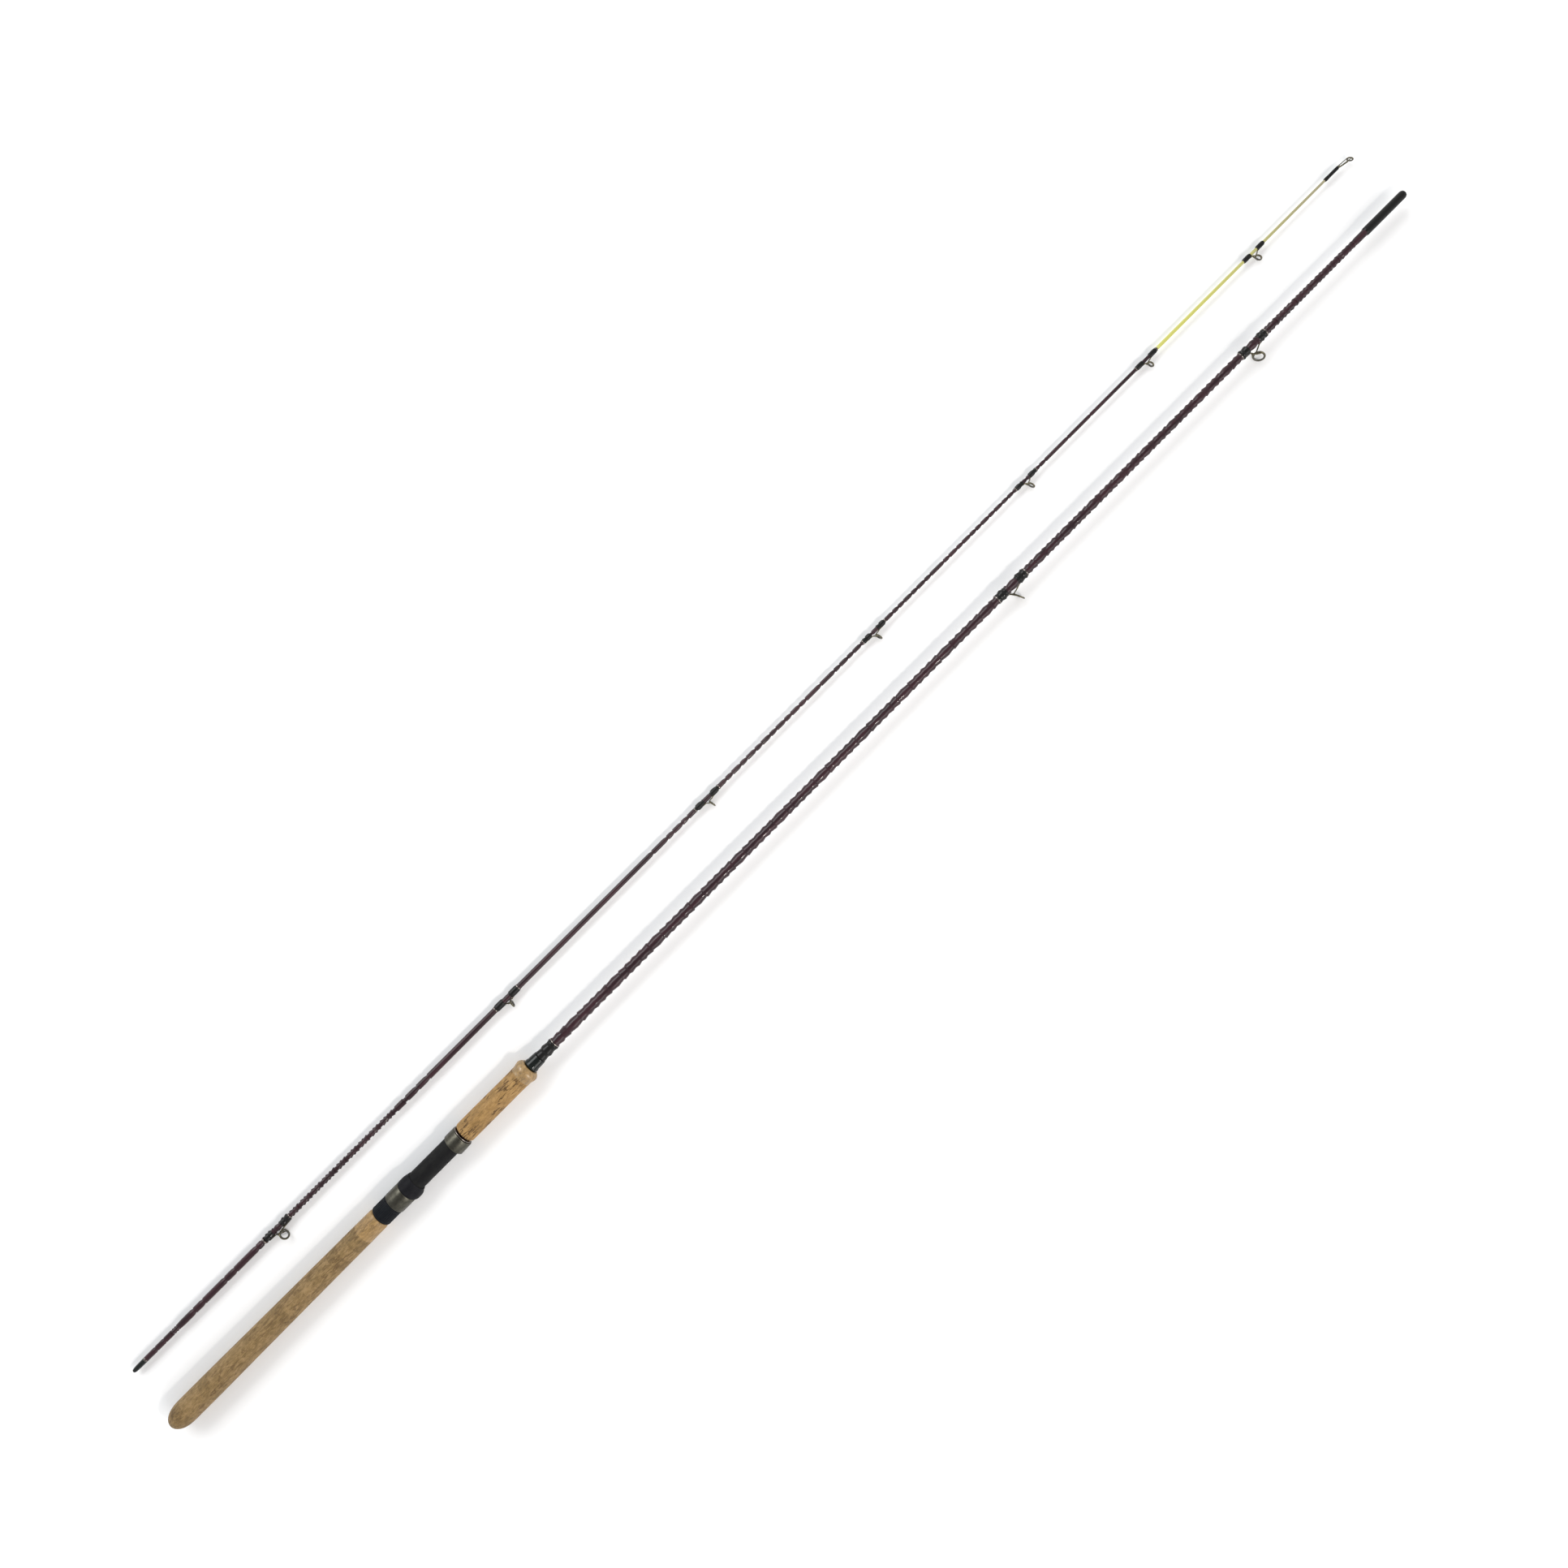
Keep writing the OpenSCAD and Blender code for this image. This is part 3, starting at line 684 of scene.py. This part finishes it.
piece("ferrule_nose", [lathe(rounded([
      (0, 0), (0, 1.5, 0.5), (0.7, 2.0, 0.5), (2.2, 2.32, 1), (6, 2.6, 2),
      (15.7, 2.76, 0.2), (16, 2.6, 0.1), (16, 0)]), 56)],
      TIP, "tip_section", CHECK, ["ferrule_plug"])
piece("ferrule_pale_ring", [lathe(rounded([
      (16, 1.7), (16, 2.7, 0.1), (16.3, 2.84, 0.15), (17.7, 2.84, 0.15), (18, 2.7, 0.1), (18, 1.7)]), 56)],
      TIP, "tip_section", TRIM, ["ferrule_ring"])

# ---- tip-top ----

top_at = ring_place("tip_top_ring", TIP)[0]
top_band = moved(lathe(rounded([(-0.5, 2.8, 0.1), (-0.5, 3.2, 0.12), (-0.2, 3.4, 0.15), (0.2, 3.4, 0.15),
                                (0.5, 3.2, 0.12), (0.5, 2.8, 0.1), (-0.5, 2.8)]), 56), top_at)
tube_x = station("tip_top_frame", TIP, 0)
tube = lathe(rounded([(tube_x, 1.0), (tube_x, 1.45, 0.15), (tube_x + 0.5, 1.6, 0.3), (quiver_hi - 1, 1.6, 1),
                      (quiver_hi + 0.6, 1.15, 0.5), (quiver_hi + 1.2, 0.5, 0.4), (quiver_hi + 1.4, 0)]), 48)
legs = []
for a in (12, 168, -90):
    t = math.radians(a)
    end = top_at @ Vector((0, -3.05 * math.sin(t), 3.05 * math.cos(t)))
    side = 0 if a == -90 else math.copysign(1, math.cos(t))
    heights = (-0.4, -0.5, (end.y - 0.4) * 0.45) if side else (0.9, 0.8, 0.55)
    legs.append(wire([(quiver_hi - 7, heights[0], side * 0.9), (quiver_hi - 1.5, heights[1], side * 1.2),
                      (quiver_hi + 4, heights[2], side * 2.1), tuple(end)], [0.3, 0.45, 0.42, 0.4]))
piece("tip_top_wires", [top_band, tube] + legs, TIP, "quiver", STEEL, ["tip_top_frame"], 50)
profile = [(-0.6, 2.78), (0.6, 2.78), (0.6, 2.3)]
profile += [(0.6 * math.cos(a), 2.3 - 0.5 * math.sin(a)) for a in [i * math.pi / 12 for i in range(1, 12)]]
profile += [(-0.6, 2.3)]
piece("tip_top_liner", [moved(lathe(profile, 56, closed=True), top_at)],
      TIP, "quiver", CERAMIC, ["tip_top_ring"], 60)
tube_wrap = lathe(rounded([(tube_x, 1.3), (tube_x, 1.75, 0.15), (quiver_hi - 2, 1.75, 0.3),
                           (quiver_hi - 1, 1.5)]), 48)
piece("tip_top_thread", [wrap_shape(QUIVER_OUT, tube_x - 6, tube_x + 0.2, 0.5, 0.05), tube_wrap],
      TIP, "quiver", THREAD, ["tip_top_wrap"])

# ---- reel seat ----

nut_x, nut_end = station("lock_nut", BUTT, 0), station("lock_nut", BUTT, 1)
hood_x, hood_end = station("hood_liner", BUTT, 0), station("hood_liner", BUTT, 1)
band_end = station("hood_band", BUTT, 1)
fixed_x, fixed_end = station("fixed_hood_shell", BUTT, 0), station("fixed_hood_shell", BUTT, 1)
BARREL_R, FLAT_H, PITCH = 9.7, 8.9, 2.0


def flatten(lo, hi, height):
    """Presses the guides' side of a turned barrel onto a flat between two stations."""
    def press(v):
        x, y, z = v
        inside = min(x - lo, hi - x)
        limit = height + max(0.0, -inside) * 0.8
        return (x, max(y, -limit), z) if abs(y) > 6 else v
    return press


thread_rows, x = [], grip_end + 2
while x < hood_x + 26:
    for u, depth in ((0, 0), (0.22, 0.42), (0.32, 0.47), (0.48, 0.47), (0.58, 0.42), (0.8, 0)):
        thread_rows.append((x + u * PITCH, BARREL_R - depth))
    x += PITCH
plain_rows = [(p, BARREL_R) for p in range(int(x) + 1, int(fixed_end), 2)]
barrel = [(grip_end, 7.8), (grip_end, BARREL_R)] + thread_rows + plain_rows
barrel += [(fixed_end, BARREL_R), (fixed_end, 7.8)]
piece("seat_barrel_black", [lathe(barrel, 128, squash=flatten(hood_x, fixed_x + 11, FLAT_H))],
      BUTT, "butt_section", SEAT, ["seat_barrel"], 30)
BUSH_LENGTH = 14
BUSHES = (grip_end + 3, 333, 378)  # rear ends, the last two 2 mm behind the frame's
piece("seat_bushes", [
      lathe([(a, 5.9), (a, 7.7), (a + BUSH_LENGTH, 7.7), (a + BUSH_LENGTH, 5.9)], 48, closed=True)
      for a in BUSHES], BUTT, "butt_section", FOAM, ["seat_arbors"])

# lock nut: soft knurls between two plain collars
nut_r = half_height("lock_nut")
KNURLS, KNURL_DEPTH, COLLAR = 36, 0.34, 2.8
nut_rows = rounded([(nut_x, 9.8), (nut_x, nut_r - 0.9, 0.3), (nut_x + 0.9, nut_r - 0.05, 0.6),
                    (nut_x + 2.2, nut_r - 0.05, 0.3), (nut_x + 2.6, nut_r - 0.5, 0.2)])
steps = [nut_x + 2.9 + i * (nut_end - nut_x - 5.8) / 14 for i in range(15)]
nut_rows += [(s, nut_r - 0.45) for s in steps]
nut_rows += rounded([
      (nut_end - 2.6, nut_r - 0.5, 0.2), (nut_end - 2.2, nut_r, 0.3), (nut_end - 0.8, nut_r, 0.5),
      (nut_end, nut_r - 0.7, 0.3), (nut_end, 9.8)])


def knurl(v):
    x, y, z = v
    r = math.hypot(y, z)
    if not (nut_x + COLLAR < x < nut_end - COLLAR) or r < 10.2:
        return v
    a = math.atan2(z, y)
    wave = KNURL_DEPTH * (0.5 + 0.5 * math.cos(KNURLS * a)) ** 0.6
    ends = min(1.0, (x - nut_x - COLLAR) / 1.2, (nut_end - COLLAR - x) / 1.2)
    k = (r + wave * ends) / r
    return (x, y * k, z * k)


piece("lock_nut_black", [lathe(nut_rows + [nut_rows[0]], 288, squash=knurl)],
      BUTT, "nut", NUT, ["lock_nut"], 40)

# sliding hood: a metal band round a black body whose mouth flares towards the reel's foot


def hood_shape(rows, segs=96):
    """Rows of (station, back reach, foot reach, half width): egg-shaped rings round the rod."""
    verts, faces = [], []
    for x, back, foot, half in rows:
        for k in range(segs):
            a = 2 * math.pi * k / segs
            c, s = math.cos(a), math.sin(a)
            reach = back if c > 0 else foot
            verts.append((x, c * reach, s * half))
    for i in range(len(rows) - 1):
        for k in range(segs):
            j = (k + 1) % segs
            faces.append([i * segs + k, i * segs + j, (i + 1) * segs + j, (i + 1) * segs + k])
    return verts, faces


back, foot = 11.45, 12.15  # reach away from and towards the reel's foot
piece("hood_band_metal", [hood_shape([
      (hood_x, back - 0.55, foot - 0.55, 11.0), (hood_x, back - 0.2, foot - 0.2, 11.35),
      (hood_x + 0.2, back, foot, 11.6), (hood_x + 0.6, back + 0.06, foot + 0.06, 11.7),
      (hood_x + 5, back + 0.08, foot + 0.1, 11.75),
      (hood_x + 12, back + 0.08, foot + 0.1, 11.75), (band_end - 0.6, back + 0.06, foot + 0.06, 11.7),
      (band_end - 0.15, back - 0.05, foot - 0.05, 11.55), (band_end, back - 0.3, foot - 0.3, 11.3),
      (band_end, back - 0.6, foot - 0.6, 11.0), (hood_x, back - 0.55, foot - 0.55, 11.0)])],
      BUTT, "sliding_hood", HOOD, ["hood_band"], 45)
piece("hood_body_black", [hood_shape([
      (hood_x - 0.05, 10.06, 10.06, 10.06), (hood_x - 0.05, back - 0.6, foot - 0.6, 11.0),
      (band_end, back - 0.6, foot - 0.6, 11.0), (band_end + 0.1, back - 0.3, foot - 0.2, 11.2),
      (band_end + 0.6, back + 0.1, foot + 0.5, 11.7), (band_end + 1.6, back + 0.2, foot + 1.3, 11.78),
      (band_end + 3, back + 0.2, foot + 1.75, 11.8), (band_end + 7, back + 0.2, foot + 1.75, 11.7),
      (band_end + 8.5, back + 0.05, foot + 1.45, 11.5), (band_end + 10.5, back - 0.4, foot + 0.5, 11.1),
      (hood_end - 1, back - 1.0, foot - 1.1, 10.6), (hood_end - 0.2, back - 1.15, foot - 1.5, 10.4),
      (hood_end, 10.15, foot - 1.8, 10.1), (hood_end - 1.0, 10.06, foot - 2.0, 9.6),
      (band_end + 4, 10.06, 11.2, 9.65), (band_end, 10.06, 10.9, 9.7), (hood_x + 5, 10.06, 10.3, 10.06),
      (hood_x - 0.05, 10.06, 10.06, 10.06)])],
      BUTT, "sliding_hood", LINER, ["hood_liner"], 45)

# fixed hood: its shell, liner and the bright trim in front
fb, ff = 10.7, 12.9  # its back and foot reach
piece("fixed_hood_metal", [hood_shape([
      (fixed_x, fb - 0.6, ff - 0.6, 11.2), (fixed_x, fb - 0.2, ff - 0.2, 11.5),
      (fixed_x + 0.25, fb, ff, 11.72),
      (fixed_x + 0.7, fb + 0.03, ff, 11.78), (fixed_x + 6, fb + 0.03, ff - 0.1, 11.78),
      (fixed_end - 0.9, fb + 0.02, ff - 0.5, 11.7), (fixed_end - 0.2, fb - 0.1, ff - 0.9, 11.45),
      (fixed_end, fb - 0.3, ff - 1.3, 11.1), (fixed_end, fb - 0.7, ff - 2, 10.6),
      (fixed_end - 0.6, fb - 0.7, ff - 1.6, 10.8), (fixed_x, fb - 0.6, ff - 0.6, 11.2)])],
      BUTT, "butt_section", HOOD, ["fixed_hood_shell"], 45)
piece("fixed_hood_lining", [hood_shape([
      (fixed_x + 0.1, 9.75, 11.7, 9.9), (fixed_x + 0.1, fb - 0.62, ff - 0.62, 11.15),
      (fixed_end - 0.4, fb - 0.7, ff - 1.7, 10.7), (fixed_end - 0.4, 9.75, 9.75, 9.75),
      (fixed_x + 11, 9.75, 10.2, 9.8), (fixed_x + 0.1, 9.75, 11.7, 9.9)])],
      BUTT, "butt_section", LINER, ["fixed_hood_liner"], 45)
trim_x = station("seat_trim_ring", BUTT, 0)
piece("seat_trim", [lathe(rounded([
      (trim_x, 6), (trim_x, 10.35, 0.15), (trim_x + 0.35, 10.62, 0.25), (trim_x + 0.85, 10.62, 0.25),
      (trim_x + 1.2, 10.3, 0.15), (trim_x + 1.2, 6)]), 96)],
      BUTT, "butt_section", TRIM, ["seat_trim_ring"])

# ---- floor, light and camera ----

floor_mesh = bpy.data.meshes.new("floor")
floor_mesh.from_pydata([(-6, -6, 0), (6, -6, 0), (6, 6, 0), (-6, 6, 0)], [], [(0, 1, 2, 3)])
floor = bpy.data.objects.new("floor", floor_mesh)
bpy.context.scene.collection.objects.link(floor)
floor.location.z = -0.0004
paper = bpy.data.materials.new("floor_paper")
paper.use_nodes = True
paper.node_tree.nodes["Principled BSDF"].inputs["Base Color"].default_value = (0.92, 0.92, 0.915, 1)
paper.node_tree.nodes["Principled BSDF"].inputs["Roughness"].default_value = 0.9
floor_mesh.materials.append(paper)


def softbox(name, place, size, power, colour):
    """A rectangular light aimed at the origin."""
    light = bpy.data.lights.new(name, "AREA")
    light.shape, light.size, light.size_y = "RECTANGLE", size[0], size[1]
    light.energy, light.color = power, colour
    lamp = bpy.data.objects.new(name, light)
    bpy.context.scene.collection.objects.link(lamp)
    lamp.location = place
    lamp.rotation_euler = (-Vector(place)).to_track_quat("-Z", "Y").to_euler()


softbox("window", (-0.1, 2.7, 2.0), (3.6, 1.8), 92, (0.97, 0.99, 1.0))
softbox("side_wall", (0.3, -2.7, 2.0), (3.6, 1.8), 60, (1.0, 0.98, 0.95))
softbox("ceiling_lamp", (0.02, -0.98, 1.25), (0.14, 0.10), 6.5, (1.0, 0.93, 0.88))
world = bpy.data.worlds.new("studio")
bpy.context.scene.world = world
world.use_nodes = True
sky = world.node_tree.nodes
direction = sky.new("ShaderNodeTexCoord")
split = sky.new("ShaderNodeSeparateXYZ")
world.node_tree.links.new(direction.outputs["Generated"], split.inputs["Vector"])
fade = sky.new("ShaderNodeMapRange")
fade.interpolation_type = "SMOOTHSTEP"
fade.inputs["From Min"].default_value = 0.95
fade.inputs["From Max"].default_value = 0.60
fade.inputs["To Min"].default_value = 0.34
fade.inputs["To Max"].default_value = 0.72
world.node_tree.links.new(split.outputs["Z"], fade.inputs["Value"])
world.node_tree.links.new(fade.outputs["Result"], sky["Background"].inputs["Strength"])
sky["Background"].inputs["Color"].default_value = (0.96, 0.97, 1.0, 1)

CAMERA_HEIGHT, FRAME_WIDTH = 1.15, 1.5424  # metres: above the floor, and across the view at the floor
SENSOR = 36
camera_data = bpy.data.cameras.new("camera")
camera = bpy.data.objects.new("camera", camera_data)
bpy.context.scene.collection.objects.link(camera)
camera_data.sensor_width = SENSOR
camera_data.lens = SENSOR * CAMERA_HEIGHT / FRAME_WIDTH
camera.location = (0.0146, -0.0046, CAMERA_HEIGHT)
camera.rotation_euler = (0, 0, -math.radians(45))
bpy.context.scene.camera = camera
bpy.context.scene.view_settings.view_transform = "Standard"
